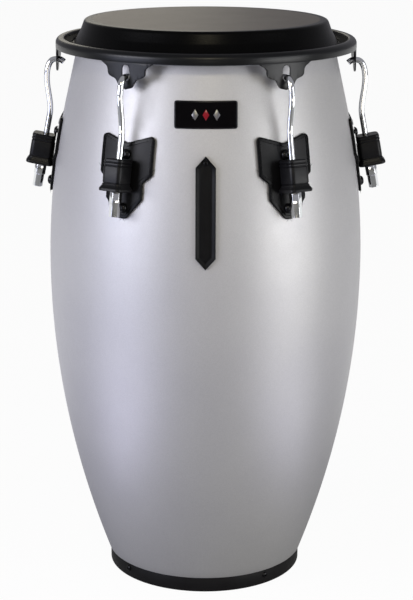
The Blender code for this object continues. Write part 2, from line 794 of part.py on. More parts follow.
def make_side_plates():
    """Curved plates against the shell, with their bolts and the backing plates inside."""
    # the plates bend where the shell's own facets meet
    half_chord = shell_radius(lug_height) * math.sin(facet / 2)
    bends = [half_chord * k for k in (-3, -1, 1, 3)]
    outline = plate_outline()
    heights = [z for u, z in outline]
    bm = flat_solid(outline, [], plate_thickness, bends, steps_between(min(heights), max(heights), 3))
    wrap(bm, wall_gap)
    plate = to_mesh("side_plate", bm)

    low = lower_bolt_height - backing_margin
    high = upper_bolt_height + backing_margin
    side = backing_width / 2
    corners = [(-side, low), (side, low), (side, high), (-side, high)]
    bm = flat_solid(corners, [], backing_thickness, bends[1:3], steps_between(low, high, 3))
    wrap(bm, -(shell_wall + backing_gap + backing_thickness))
    backing = to_mesh("backing_plate", bm)

    # the bolts lean with the wall, so their holes are cut after the plates are bent
    cutter = bmesh.new()
    for z in (upper_bolt_height, lower_bolt_height):
        rod(cutter, bolt_radius + hole_gap, -hole_reach, hole_reach, round_sides, on_wall(z))
    holes = to_mesh("holes", cutter)
    plate = combine(plate, holes, "DIFFERENCE")
    backing = combine(backing, holes, "DIFFERENCE")

    black = finish("plate black", (0.016, 0.016, 0.018), 0.45)
    steel = finish("backing steel", (0.5, 0.5, 0.5), 0.4, 1.0)
    bolt_black = finish("bolt black", (0.014, 0.014, 0.015), 0.3, 0.6)
    shank = plate_front + seat_gap + shell_wall + backing_gap + backing_thickness + bolt_end
    bolt = screw("bolt", bolt_radius, shank, bolt_head_radius, bolt_head_height)
    for number in range(lug_count):
        angle = lug_angle(number)
        for name, mesh, material in (("side_plate", plate, black), ("backing_plate", backing, steel)):
            made = add_object(f"{name}_{number + 1}", mesh, material)
            made.rotation_euler.z = angle
        for name, z in (("upper_bolt", upper_bolt_height), ("lower_bolt", lower_bolt_height)):
            made = add_object(f"{name}_{number + 1}", bolt, bolt_black)
            made.matrix_world = on_wall(z, angle, plate_front + seat_gap)


def make_badge():
    """Thin curved name plate, left blank."""
    half = badge_width / 2
    high = badge_bottom + badge_height
    corners = [(half, badge_bottom), (half, high), (-half, high), (-half, badge_bottom)]
    outline = rounded([(u, z, badge_corner) for u, z in corners], 2)
    bm = flat_solid(outline, [], badge_thickness, steps_between(-half, half, 6))
    wrap(bm, wall_gap)
    add_object("badge", to_mesh("badge", bm), finish("badge enamel", (0.01, 0.008, 0.008), 0.15))


def make_shell_protector():
    """Pointed strip with chamfered edges, held by one screw near its top."""
    half = protector_width / 2
    lower_shoulder = protector_bottom + protector_point
    upper_shoulder = protector_top - protector_point
    outline = [
        (0.0, protector_top), (-half, upper_shoulder), (-half, lower_shoulder),
        (0.0, protector_bottom), (half, lower_shoulder), (half, upper_shoulder),
    ]
    bm = flat_solid(outline, [], protector_edge)
    front = min(bm.faces, key=lambda face: face.calc_center_median().y)
    bmesh.ops.inset_region(
        bm, faces=[front], thickness=protector_chamfer, depth=protector_depth - protector_edge,
        use_even_offset=True,
    )
    slice_flat(bm, [0.0], steps_between(lower_shoulder, upper_shoulder, 4))
    wrap(bm, wall_gap)
    strip = to_mesh("shell_protector", bm)
    cutter = bmesh.new()
    z = protector_screw_height
    rod(cutter, protector_screw_radius + hole_gap, -hole_reach, hole_reach, round_sides, on_wall(z))
    strip = combine(strip, to_mesh("holes", cutter), "DIFFERENCE")
    add_object("shell_protector", strip, finish("protector rubber", (0.012, 0.012, 0.013), 0.5))

    shank = protector_depth + shell_wall
    mesh = screw("protector_screw", protector_screw_radius, shank, protector_head_radius, protector_head_height)
    made = add_object("protector_screw", mesh, finish("screw black", (0.01, 0.01, 0.01), 0.3, 0.5))
    made.matrix_world = on_wall(z, 0.0, wall_gap + protector_depth + seat_gap)


def main():
    remove_everything()
    make_shell()
    make_base_band()
    make_drum_skin()
    make_flesh_hoop()
    make_rim()
    lugs = make_lug_axes()
    make_tuning_hooks(lugs)
    make_tuning_nuts(lugs)
    make_lug_bodies(lugs)
    make_side_plates()
    make_badge()
    make_shell_protector()


main()
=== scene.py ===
import math

import bmesh
import bpy
from mathutils import Matrix, Vector


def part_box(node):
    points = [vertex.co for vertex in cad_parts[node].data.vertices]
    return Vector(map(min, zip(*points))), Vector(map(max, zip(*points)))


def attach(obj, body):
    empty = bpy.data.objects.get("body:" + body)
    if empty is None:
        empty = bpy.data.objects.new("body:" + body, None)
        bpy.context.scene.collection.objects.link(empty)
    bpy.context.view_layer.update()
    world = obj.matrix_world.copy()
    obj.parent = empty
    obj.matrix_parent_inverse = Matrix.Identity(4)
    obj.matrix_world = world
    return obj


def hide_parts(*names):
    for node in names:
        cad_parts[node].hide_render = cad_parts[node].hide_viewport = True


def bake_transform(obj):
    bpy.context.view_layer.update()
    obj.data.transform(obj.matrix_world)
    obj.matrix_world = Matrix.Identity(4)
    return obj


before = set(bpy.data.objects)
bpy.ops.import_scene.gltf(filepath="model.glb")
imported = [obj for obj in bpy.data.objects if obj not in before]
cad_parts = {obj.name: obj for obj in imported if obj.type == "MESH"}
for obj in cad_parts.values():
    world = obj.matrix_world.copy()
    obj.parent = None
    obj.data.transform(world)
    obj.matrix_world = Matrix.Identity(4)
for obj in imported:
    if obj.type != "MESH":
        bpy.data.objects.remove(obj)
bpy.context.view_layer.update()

# A conga drum with a fibreglass shell. Metres, z up, the front of the drum faces -y.
lugAngles = [math.radians(30 + 60 * number) for number in range(6)]
screwAngles = [math.radians(38.5 + 90 * number) for number in range(4)]
seatGap = 0.0003         # left between pieces that touch
samePoint = 1e-6         # points nearer than this are one
turnSteps = 216          # four times the frame's own facets
sharpAngle = 35          # edges that turn by more degrees than this are shaded sharp

# the camera and lamps of the photograph
studio = {
    "camera": (0.0, -2.330, 1.0066), "tilt": 15.15, "roll": 0.0033,
    "lens": 69.95, "sensor": 24, "shift": 0.002,
    "target": (0, 0, 0.42),                     # where the softboxes point
    "floorReach": 9.0,                          # from the drum to each side of the paper
    "floor": "F2F2F2", "floorGlow": 0.96,       # share of pure white that the camera sees in the floor
    "floorShine": 0.12, "backShine": 1.0,       # and that glossy pieces see, before and behind the drum
    "shineRise": (0.1, 0.7),                    # y between which the one turns into the other
    "bounce": "808080",                         # the tone of the paper as it lights the drum
    "fill": (0.05, "FFFFFF"), "room": (0.33, "F8F7FF"),    # light from all round, and what glossy pieces see
    "backdrop": (1.0, "FFFFFF"),                # what the camera sees past the floor
}
lamps = {
    "left_softbox": {"at": (-1.86, -1.28, 1.08), "size": (1.3, 0.7), "power": 32.5, "tint": "F3F4FF"},
    "left_low_softbox": {"at": (-1.86, -1.28, 0.31), "size": (1.3, 0.56), "power": 10.5, "tint": "DCE2FF"},
    "right_softbox": {"at": (1.92, -1.22, 1.02), "size": (1.3, 0.7), "power": 12, "tint": "FAFCFF"},
    "right_low_softbox": {"at": (1.92, -1.22, 0.31), "size": (1.3, 0.56), "power": 17.5, "tint": "FFFFFF"},
    "front_softbox": {"at": (0.05, -3.0, 2.35), "size": (0.7, 0.4), "power": 18, "tint": "FFF5D2"},
    "low_front_softbox": {"at": (0.05, -3.0, 0.3), "size": (0.6, 0.25), "power": 2.4, "tint": "FFF5E6"},
    "rear_softbox": {"at": (-0.45, 2.3, 1.45), "size": (1.0, 0.6), "power": 3.4, "tint": "FFF9E6"},
    "left_card_softbox": {"at": (-0.56, -0.40, 0.02), "size": (0.5, 0.5), "power": 1.5, "tint": "E0E0FF"},
    "right_card_softbox": {"at": (0.58, -0.38, 0.02), "size": (0.5, 0.5), "power": 1.15, "tint": "E7E7FF"},
}

# the curve of the wall, as the frame has it
wall = {
    "bellyRadius": 0.2116, "bellyHeight": 0.435,
    "footRadius": 0.1353, "footHeight": 0.0204,
    "neckHeight": 0.660,                        # the taper above it is straight
    "topRadius": 0.167625, "topHeight": 0.740,  # the bearing edge turns in here
    "thickness": 0.006,
}
neckRise = wall["neckHeight"] - wall["bellyHeight"]
taperRise = wall["topHeight"] - wall["neckHeight"]
lowerBow = (wall["bellyRadius"] - wall["footRadius"]) / (wall["bellyHeight"] - wall["footHeight"]) ** 2
upperBow = (wall["bellyRadius"] - wall["topRadius"]) / (neckRise ** 2 + 2 * neckRise * taperRise)


def wallRadius(z):
    rise = z - wall["bellyHeight"]
    if rise < 0:
        return wall["bellyRadius"] - lowerBow * rise ** 2
    curved = min(rise, neckRise)
    return wall["bellyRadius"] - upperBow * curved ** 2 - 2 * upperBow * neckRise * (rise - curved)


def wallLean(z):
    # how far the outward normal points above the horizon
    rise = z - wall["bellyHeight"]
    bow = lowerBow if rise < 0 else upperBow
    return math.atan(2 * bow * min(rise, neckRise))


def onWall(z, standOff=0.0):
    # at the front of the drum, with local z along the outward normal
    lean = wallLean(z)
    out = Matrix.Rotation(math.radians(90) - lean, 4, "X")
    along = Matrix.Translation((0, 0, standOff * math.cos(lean)))
    return Matrix.Translation((0, -wallRadius(z), z)) @ out @ along


def spread(low, high, count):
    return [low + (high - low) * i / count for i in range(count + 1)]


def arc(centreR, centreZ, radius, start, end, steps, flat=1.0):
    # (radius, height) points of an arc; flat below 1 makes it an ellipse
    return [
        (centreR + radius * math.cos(math.radians(a)), centreZ + radius * flat * math.sin(math.radians(a)))
        for a in spread(start, end, steps)
    ]


def turn(points, closed=False, steps=turnSteps):
    # a line of (radius, height) points, turned round the z axis
    bm = bmesh.new()
    verts = [bm.verts.new((0, -radius, height)) for radius, height in points]
    edges = [bm.edges.new(pair) for pair in zip(verts, verts[1:])]
    if closed:
        edges.append(bm.edges.new((verts[-1], verts[0])))
    bmesh.ops.spin(
        bm, geom=verts + edges, axis=(0, 0, 1), cent=(0, 0, 0), angle=math.tau, steps=steps, use_merge=True)
    return bm


def vertsOf(grown):
    # the vertices that an extrusion made
    return [item for item in grown["geom"] if isinstance(item, bmesh.types.BMVert)]


def cleanUp(bm):
    bmesh.ops.remove_doubles(bm, verts=bm.verts, dist=samePoint)
    bmesh.ops.recalc_face_normals(bm, faces=bm.faces)


def roundEdges(bm, width, segments=2, least=35):
    # soften every edge that turns by more than this many degrees
    cleanUp(bm)
    sharp = [e for e in bm.edges if e.is_manifold and e.calc_face_angle() > math.radians(least)]
    bmesh.ops.bevel(
        bm, geom=sharp, offset=width, segments=segments, profile=0.5, affect="EDGES", material=-1,
        clamp_overlap=True)


def roundCorner(bm, vert, radius, segments=5):
    # soften one corner of a flat outline
    before, after = [edge.other_vert(vert).co - vert.co for edge in vert.link_edges]
    reach = radius / math.tan(before.angle(after) / 2)
    reach = min(reach, before.length / 2.1, after.length / 2.1)    # a little less than half an edge
    bmesh.ops.bevel(
        bm, geom=[vert], offset=reach, segments=segments, profile=0.5, affect="VERTICES", material=-1)


def outlineFace(bm, corners):
    # corners are (x, z, radius), the first half of a shape that is the same on both sides
    whole = corners + [(-x, z, radius) for x, z, radius in reversed(corners) if x > 0]
    verts = [bm.verts.new((x, 0, z)) for x, z, radius in whole]
    bm.faces.new(verts)
    for vert, (x, z, radius) in zip(verts, whole):
        if radius:
            roundCorner(bm, vert, radius)
    return bm.faces[:][0]


def raiseFace(bm, face, shift, spreadBy=0.0, keep=False):
    # extrude a flat face by a vector and widen it by this much on every side
    grown = bmesh.ops.extrude_face_region(bm, geom=[face])
    moved = vertsOf(grown)
    newFace = next(item for item in grown["geom"] if isinstance(item, bmesh.types.BMFace))
    if not keep:
        bmesh.ops.delete(bm, geom=[face], context="FACES_ONLY")
    if spreadBy:
        middle = newFace.calc_center_median()
        reachX = max(abs(vert.co.x - middle.x) for vert in moved)
        reachY = max(abs(vert.co.y - middle.y) for vert in moved)
        scale = (1 + spreadBy / reachX, 1 + spreadBy / reachY, 1)
        bmesh.ops.scale(bm, vec=scale, verts=moved, space=Matrix.Translation(-middle))
    bmesh.ops.translate(bm, vec=shift, verts=moved)
    return newFace


def cutLoops(bm, xs=(), zs=()):
    # edge loops that let a flat piece bend
    for place, normal in [((x, 0, 0), (1, 0, 0)) for x in xs] + [((0, 0, z), (0, 0, 1)) for z in zs]:
        geom = bm.verts[:] + bm.edges[:] + bm.faces[:]
        bmesh.ops.bisect_plane(bm, geom=geom, dist=samePoint, plane_co=place, plane_no=normal)


def bend(bm, radiusAt):
    # wrap a flat piece round the front of the drum: x runs along the arc, -y stands off it
    for vert in bm.verts:
        radius = radiusAt(vert.co.z)
        turned = vert.co.x / radius
        reach = radius - vert.co.y
        vert.co = Vector((reach * math.sin(turned), -reach * math.cos(turned), vert.co.z))


def toMesh(name, bm, materials, sharpFrom=sharpAngle):
    cleanUp(bm)
    mesh = bpy.data.meshes.new(name)
    bm.to_mesh(mesh)
    bm.free()
    for material in materials:
        mesh.materials.append(material)
    mesh.shade_smooth()
    mesh.set_sharp_from_angle(angle=math.radians(sharpFrom))
    return mesh


def combine(mesh, tool, operation):
    # join a second mesh to this one, or cut it away
    pair = [bpy.data.objects.new("pair", each) for each in (mesh, tool)]
    for item in pair:
        bpy.context.scene.collection.objects.link(item)
    change = pair[0].modifiers.new("combine", "BOOLEAN")
    change.operation = operation
    change.object = pair[1]
    result = bpy.data.meshes.new_from_object(pair[0].evaluated_get(bpy.context.evaluated_depsgraph_get()))
    for item in pair:
        bpy.data.objects.remove(item)
    return result


def addPiece(name, mesh, body, slotName, *nodes, place=None):
    # a copy of the mesh in its place, riding on a body, in the stead of these nodes
    own = mesh.copy()
    own.name = name
    if place:
        own.transform(place)
    piece = bpy.data.objects.new(name, own)
    bpy.context.scene.collection.objects.link(piece)
    if body:
        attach(piece, body)
    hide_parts(*nodes)
    return piece


def around(angle):
    return Matrix.Rotation(angle, 4, "Z")


# Materials: one maker gives each finish its tones, grain and relief
grainDepth = 0.0002          # height of a grain at full relief
driftSpan = (0.35, 0.65)     # the part of a noise that the two tones are spread over
grainSpan = (0.3, 0.7)       # and the part that the roughness is spread over


def colour(code):
    # sRGB hex to linear
    parts = [int(code[i:i + 2], 16) / 255 for i in (0, 2, 4)]
    return (*[p / 12.92 if p <= 0.04045 else ((p + 0.055) / 1.055) ** 2.4 for p in parts], 1.0)


def perMillimetres(size):
    # the texture scale that gives features of this size
    return 1000 / size


def addNode(tree, kind, values=None, links=None, **settings):
    node = tree.nodes.new(kind)
    for key, value in settings.items():
        setattr(node, key, value)
    for key, value in (values or {}).items():
        node.inputs[key].default_value = value
    for key, socket in (links or {}).items():
        tree.links.new(socket, node.inputs[key])
    return node


def makeFinish(name, look):
    # base colour drifts between two tones, a fine grain moves roughness and relief
    made = bpy.data.materials.new(name)
    made.use_nodes = True
    tree = made.node_tree
    shader = tree.nodes["Principled BSDF"]
    place = addNode(tree, "ShaderNodeTexCoord").outputs["Object"]
    patches = addNode(
        tree, "ShaderNodeTexNoise", {"Scale": perMillimetres(look["patch"]), "Detail": 3.0},
        {"Vector": place})
    if look.get("cells"):
        grain = addNode(
            tree, "ShaderNodeTexVoronoi", {"Scale": perMillimetres(look["grain"])}, {"Vector": place})
        height = grain.outputs["Distance"]
    else:
        grain = addNode(
            tree, "ShaderNodeTexNoise", {"Scale": perMillimetres(look["grain"]), "Detail": 2.0},
            {"Vector": place})
        height = grain.outputs["Fac"]
    start, end = driftSpan
    drift = addNode(
        tree, "ShaderNodeMapRange", {"From Min": start, "From Max": end}, {"Value": patches.outputs["Fac"]})
    tone = addNode(
        tree, "ShaderNodeMix", {6: colour(look["tones"][0]), 7: colour(look["tones"][1])},
        {0: drift.outputs["Result"]}, data_type="RGBA")
    start, end = grainSpan
    low, high = look["roughness"]
    rough = addNode(
        tree, "ShaderNodeMapRange", {"From Min": start, "From Max": end, "To Min": low, "To Max": high},
        {"Value": height})
    relief = addNode(
        tree, "ShaderNodeBump", {"Strength": look["relief"], "Distance": grainDepth}, {"Height": height})
    tree.links.new(tone.outputs[2], shader.inputs["Base Color"])
    tree.links.new(rough.outputs["Result"], shader.inputs["Roughness"])
    tree.links.new(relief.outputs["Normal"], shader.inputs["Normal"])
    for socket, value in look.get("sockets", {}).items():
        shader.inputs[socket].default_value = value
    return made


# Powder-coated steel of the rim: polyester powder melts to a faint orange peel, satin, blue-black.
rimPowder = makeFinish("satin_black_powder_coat", {
    "tones": ("050608", "090A0C"), "patch": 60, "grain": 0.9, "relief": 0.2, "roughness": (0.29, 0.37),
    "sockets": {"Specular IOR Level": 0.26},
})
# Die-cast zinc lug bodies under a finer powder coat: a little duller, its grain drawn at 0.6 mm.
lugPowder = makeFinish("fine_powder_coat_on_zinc", {
    "tones": ("08080A", "0D0D0F"), "patch": 18, "grain": 0.6, "relief": 0.3, "roughness": (0.34, 0.44),
    "sockets": {"Specular IOR Level": 0.2},
})
# Pressed steel side plates, the same powder coat laid on thicker.
platePowder = makeFinish("powder_coat_on_pressed_steel", {
    "tones": ("0A0A0C", "0F0F11"), "patch": 24, "grain": 0.7, "relief": 0.3, "roughness": (0.36, 0.46),
    "sockets": {"Specular IOR Level": 0.19},
})
# The same paint rubbed smooth on the plates' raised borders and on their sides: blacker and glossier.
borderGloss = makeFinish("smooth_powder_coat", {
    "tones": ("030304", "060607"), "patch": 24, "grain": 1.5, "relief": 0.1, "roughness": (0.24, 0.3),
    "sockets": {"Specular IOR Level": 0.12},
})
# Stove enamel on the steel foot band: it flows out smooth and keeps a soft sheen.
bandEnamel = makeFinish("gloss_black_stove_enamel", {
    "tones": ("0B0A0B", "100F10"), "patch": 40, "grain": 3.0, "relief": 0.05, "roughness": (0.36, 0.44),
    "sockets": {"Specular IOR Level": 0.26},
})
# A duller, darker copy of the rim's black on its inner flange: painted shade for the deep gap under the roll.
flangePaintedShade = makeFinish("matt_black_painted_shade", {
    "tones": ("030303", "060606"), "patch": 20, "grain": 0.8, "relief": 0.2, "roughness": (0.6, 0.7),
    "sockets": {"Specular IOR Level": 0.03},
})
# Chromium plate over nickel on bent steel rod: near a mirror, faintly wavy from polishing.
chrome = makeFinish("chromium_plate", {
    "tones": ("DEE0E2", "E5E7E8"), "patch": 30, "grain": 12.0, "relief": 0.01, "roughness": (0.07, 0.1),
    "sockets": {"Metallic": 1.0},
})
# Black oxide on steel screws: thin oiled film, half metallic.
blackOxide = makeFinish("black_oxide_steel", {
    "tones": ("0B0B0D", "131315"), "patch": 4, "grain": 0.5, "relief": 0.1, "roughness": (0.14, 0.2),
    "sockets": {"Metallic": 0.4, "Specular IOR Level": 0.3},
})
# Coated polyester film of the playing surface: fine matt tooth that greys at a low angle. Its tones are set
# lighter than the black film's own, partly as painted sheen for that grey.
headFilmAndSheen = makeFinish("coated_polyester_film", {
    "tones": ("443F39", "4E4842"), "patch": 45, "grain": 0.7, "relief": 0.45, "roughness": (0.42, 0.52),
    "sockets": {"Specular IOR Level": 1.0, "Specular Tint": colour("FFF2E6")},
})
# The same film left uncoated on the head's collar, without the painted sheen of the playing surface: smoother
# and blacker.
collarFilm = makeFinish("uncoated_polyester_film", {
    "tones": ("020202", "040404"), "patch": 45, "grain": 1.2, "relief": 0.15, "roughness": (0.26, 0.34),
    "sockets": {"Specular IOR Level": 0.07},
})
# Extruded aluminium of the flesh hoop, as it left the die.
hoopAlloy = makeFinish("mill_finish_aluminium", {
    "tones": ("9C9DA0", "A8A9AB"), "patch": 12, "grain": 0.8, "relief": 0.2, "roughness": (0.36, 0.48),
    "sockets": {"Metallic": 1.0},
})
# Zinc plate on the backing plates: spangled crystals about 5 mm across.
zincPlate = makeFinish("spangled_zinc_plate", {
    "tones": ("9DA0A1", "B4B6B6"), "patch": 6, "grain": 5.0, "relief": 0.1, "roughness": (0.3, 0.5),
    "sockets": {"Metallic": 1.0}, "cells": True,
})
# Poured glass enamel of the badge's field: deep and glossy.
badgeEnamel = makeFinish("poured_black_enamel", {
    "tones": ("040304", "070506"), "patch": 20, "grain": 6.0, "relief": 0.02, "roughness": (0.07, 0.12),
    "sockets": {"Specular IOR Level": 0.08},
})
# Black nickel plate of the badge's frame.
blackNickel = makeFinish("black_nickel_plate", {
    "tones": ("1A1A1C", "222224"), "patch": 12, "grain": 0.6, "relief": 0.05, "roughness": (0.28, 0.36),
    "sockets": {"Metallic": 0.8, "Specular IOR Level": 0.2},
})
# Brushed nickel silver of the badge's inlay.
nickelSilver = makeFinish("brushed_nickel_silver", {
    "tones": ("77777A", "848486"), "patch": 6, "grain": 0.4, "relief": 0.15, "roughness": (0.26, 0.38),
    "sockets": {"Metallic": 1.0},
})
# Dark red enamel of the badge's middle lozenge.
redEnamel = makeFinish("poured_red_enamel", {
    "tones": ("7C1420", "8C1A26"), "patch": 5, "grain": 3.0, "relief": 0.02, "roughness": (0.1, 0.16),
    "sockets": {"Specular IOR Level": 0.25},
})
# Moulded rubber of the shell protector: dull skin with a little bloom.
rubber = makeFinish("moulded_rubber", {
    "tones": ("070708", "0C0C0D"), "patch": 14, "grain": 0.5, "relief": 0.35, "roughness": (0.36, 0.46),
    "sockets": {"Specular IOR Level": 0.13},
})


# Silver base coat with aluminium flake under satin clear lacquer, sprayed on fibreglass. The flake gives
# the broad soft highlight and a fine sparkle, drawn 0.8 mm, coarser than the real flake.
flakes = {"size": 0.8, "sparkle": (0.93, 1.05)}


def makeLacquer():
    made = makeFinish("silver_flake_lacquer", {
        "tones": ("BCBBBC", "C0BFBF"), "patch": 120, "grain": 14.0, "relief": 0.02, "roughness": (0.5, 0.54),
        "sockets": {"Metallic": 0.55, "Specular IOR Level": 0.3},
    })
    tree = made.node_tree
    shader = tree.nodes["Principled BSDF"]
    place = tree.nodes["Texture Coordinate"].outputs["Object"]
    cells = addNode(
        tree, "ShaderNodeTexVoronoi", {"Scale": perMillimetres(flakes["size"])}, {"Vector": place})
    low, high = flakes["sparkle"]
    sparkle = addNode(
        tree, "ShaderNodeMapRange", {"To Min": low, "To Max": high}, {"Value": cells.outputs["Color"]})
    base = shader.inputs["Base Color"].links[0].from_socket
    lit = addNode(
        tree, "ShaderNodeMix", {0: 1.0}, {6: base, 7: sparkle.outputs["Result"]},
        data_type="RGBA", blend_type="MULTIPLY")
    tree.links.new(lit.outputs[2], shader.inputs["Base Color"])
    return made


# Raw inner face of the shell: chopped strands lie every way in amber-grey resin, and the resin stands in
# small runs between them. A wave of 9 mm has bands about 1.4 mm wide, which are the strands.
glassMat = {"wave": 9, "tangle": 14.0, "runs": 30, "resin": "A39D8B"}


def makeFibreglass():
    made = makeFinish("raw_fibreglass_mat", {
        "tones": ("76705F", "8B8574"), "patch": 25, "grain": 4.0, "relief": 0.5, "roughness": (0.35, 0.6),
    })
    tree = made.node_tree
    shader = tree.nodes["Principled BSDF"]
    place = tree.nodes["Texture Coordinate"].outputs["Object"]
    bent = addNode(tree, "ShaderNodeTexNoise", {"Scale": perMillimetres(glassMat["runs"])}, {"Vector": place})
    strands = addNode(
        tree, "ShaderNodeTexWave",
        {"Scale": perMillimetres(glassMat["wave"]), "Distortion": glassMat["tangle"], "Detail": 3.0},
        {"Vector": place})
    share = addNode(
        tree, "ShaderNodeMath", None, {0: strands.outputs["Fac"], 1: bent.outputs["Fac"]},
        operation="MULTIPLY")
    base = shader.inputs["Base Color"].links[0].from_socket
    woven = addNode(
        tree, "ShaderNodeMix", {7: colour(glassMat["resin"])}, {0: share.outputs[0], 6: base},
        data_type="RGBA")
    tree.links.new(woven.outputs[2], shader.inputs["Base Color"])
    return made


silverLacquer = makeLacquer()
fibreglass = makeFibreglass()
print("materials are ready")


# Camera, lamps, floor and world
def setUpStudio():
    scene = bpy.context.scene
    view = bpy.data.cameras.new("photo_view")
    view.sensor_fit = "VERTICAL"
    view.sensor_height = studio["sensor"]
    view.lens = studio["lens"]
    view.shift_x = studio["shift"]
    camera = bpy.data.objects.new("photo_view", view)
    scene.collection.objects.link(camera)
    aim = Matrix.Rotation(math.radians(90 - studio["tilt"]), 4, "X") @ Matrix.Rotation(studio["roll"], 4, "Z")
    camera.matrix_world = Matrix.Translation(studio["camera"]) @ aim
    scene.camera = camera
    scene.view_settings.view_transform = "Standard"

    target = Vector(studio["target"])
    for name, lamp in lamps.items():
        light = bpy.data.lights.new(name, "AREA")
        light.shape = "RECTANGLE"
        light.size, light.size_y = lamp["size"]
        light.energy = lamp["power"]
        light.color = colour(lamp["tint"])[:3]
        softbox = bpy.data.objects.new(name, light)
        scene.collection.objects.link(softbox)
        softbox.location = lamp["at"]
        softbox.rotation_euler = (target - Vector(lamp["at"])).to_track_quat("-Z", "Y").to_euler()
        if "card" in name:                      # the cards lie on the floor and shine upwards
            softbox.rotation_euler = (math.pi, 0, 0)
        softbox.visible_camera = False

    bm = bmesh.new()
    bmesh.ops.create_grid(bm, x_segments=1, y_segments=1, size=studio["floorReach"])
    floor = bpy.data.objects.new("floor", toMesh("floor", bm, [makeFloorPaint()]))
    scene.collection.objects.link(floor)

    world = bpy.data.worlds.new("white_studio")
    scene.world = world
    world.use_nodes = True
    tree = world.node_tree
    tree.nodes.clear()
    path = addNode(tree, "ShaderNodeLightPath")
    fill, room, white = [
        addNode(tree, "ShaderNodeBackground", {"Color": colour(tint), "Strength": strength})
        for strength, tint in (studio["fill"], studio["room"], studio["backdrop"])]
    mix = addNode(
        tree, "ShaderNodeMixShader", None,
        {0: path.outputs["Is Glossy Ray"], 1: fill.outputs[0], 2: room.outputs[0]})
    mix = addNode(
        tree, "ShaderNodeMixShader", None,
        {0: path.outputs["Is Camera Ray"], 1: mix.outputs[0], 2: white.outputs[0]})
    addNode(tree, "ShaderNodeOutputWorld", None, {"Surface": mix.outputs[0]})


def makeFloorPaint():
    # White matt paper sweep: the camera sees most of it as plain white, and the shadow stays in the rest
    made = bpy.data.materials.new("white_paper_sweep")
    made.use_nodes = True
    tree = made.node_tree
    tree.nodes.clear()
    path = addNode(tree, "ShaderNodeLightPath")
    place = addNode(tree, "ShaderNodeTexCoord").outputs["Object"]
    behind = addNode(tree, "ShaderNodeSeparateXYZ", None, {0: place}).outputs["Y"]
    front, back = studio["shineRise"]
    ramp = addNode(
        tree, "ShaderNodeMapRange",
        {"From Min": front, "From Max": back, "To Min": studio["floorShine"], "To Max": studio["backShine"]},
        {"Value": behind}, interpolation_type="SMOOTHSTEP")
    shine = addNode(
        tree, "ShaderNodeMath", None, {0: path.outputs["Is Glossy Ray"], 1: ramp.outputs["Result"]},
        operation="MULTIPLY")
    share = addNode(
        tree, "ShaderNodeMath", {1: studio["floorGlow"]},
        {0: path.outputs["Is Camera Ray"], 2: shine.outputs[0]}, operation="MULTIPLY_ADD")
    tone = addNode(
        tree, "ShaderNodeMix", {6: colour(studio["bounce"]), 7: colour(studio["floor"])},
        {0: path.outputs["Is Camera Ray"]}, data_type="RGBA")
    paper = addNode(tree, "ShaderNodeBsdfDiffuse", None, {"Color": tone.outputs[2]})
    glow = addNode(tree, "ShaderNodeEmission", {"Color": colour("FFFFFF"), "Strength": 1.0})
    mix = addNode(
        tree, "ShaderNodeMixShader", None,
        {0: share.outputs[0], 1: paper.outputs[0], 2: glow.outputs[0]})
    addNode(tree, "ShaderNodeOutputMaterial", None, {"Surface": mix.outputs[0]})
    return made


setUpStudio()
print("studio is lit")


# Shell
shell = {
    "rings": 64, "crestRadius": 0.1569, "crestHeight": 0.7605, "crestSpread": 0.0039, "crestRound": 0.0035,
    "crestWidth": 0.0036, "crestFall": 0.0042, "spigotOuter": 0.1306, "spigotInner": 0.1256,
    "spigotBottom": 0.0033, "edge": 0.0009,
}


def makeShell():
    foot = wall["footHeight"] + seatGap
    heights = spread(foot, wall["topHeight"], shell["rings"])
    outside = [(shell["spigotOuter"], shell["spigotBottom"]), (shell["spigotOuter"], foot)]
    outside += [(wallRadius(z), z) for z in heights]
    flat = shell["crestRound"] / shell["crestSpread"]
    coneTop = shell["crestHeight"] - shell["crestRound"]
    outside += arc(shell["crestRadius"], coneTop, shell["crestSpread"], 0, 90, 8, flat)
    inside = [(shell["crestRadius"] - shell["crestWidth"], shell["crestHeight"] - shell["crestFall"])]
    inside += [(wallRadius(z) - wall["thickness"], z) for z in reversed(heights[1:])]
    inside += [
        (shell["spigotInner"], foot + wall["thickness"]), (shell["spigotInner"], shell["spigotBottom"])]
    bm = turn(outside + inside, closed=True)
    roundEdges(bm, shell["edge"], 3, 50)
    mesh = toMesh("shell", bm, [silverLacquer, fibreglass])
    for face in mesh.polygons:
        facesOut = face.normal.xy.dot(face.center.xy) > 0
        if not facesOut and face.center.z < coneTop:
            face.material_index = 1
    addPiece("lacquered_shell", mesh, "drum", "shell_lacquer", "shell")


makeShell()
print("shell is turned")


# Foot band and its screws
band = {
    "height": 0.0204, "radius": 0.1334, "wall": 0.0025, "floor": 0.0030, "edge": 0.0007,
    "screwHeight": 0.0125,
}
bandScrew = {
    "head": 0.0042, "rise": 0.0022, "shank": 0.0020, "length": 0.0078, "socket": 0.0014, "depth": 0.0012,
}


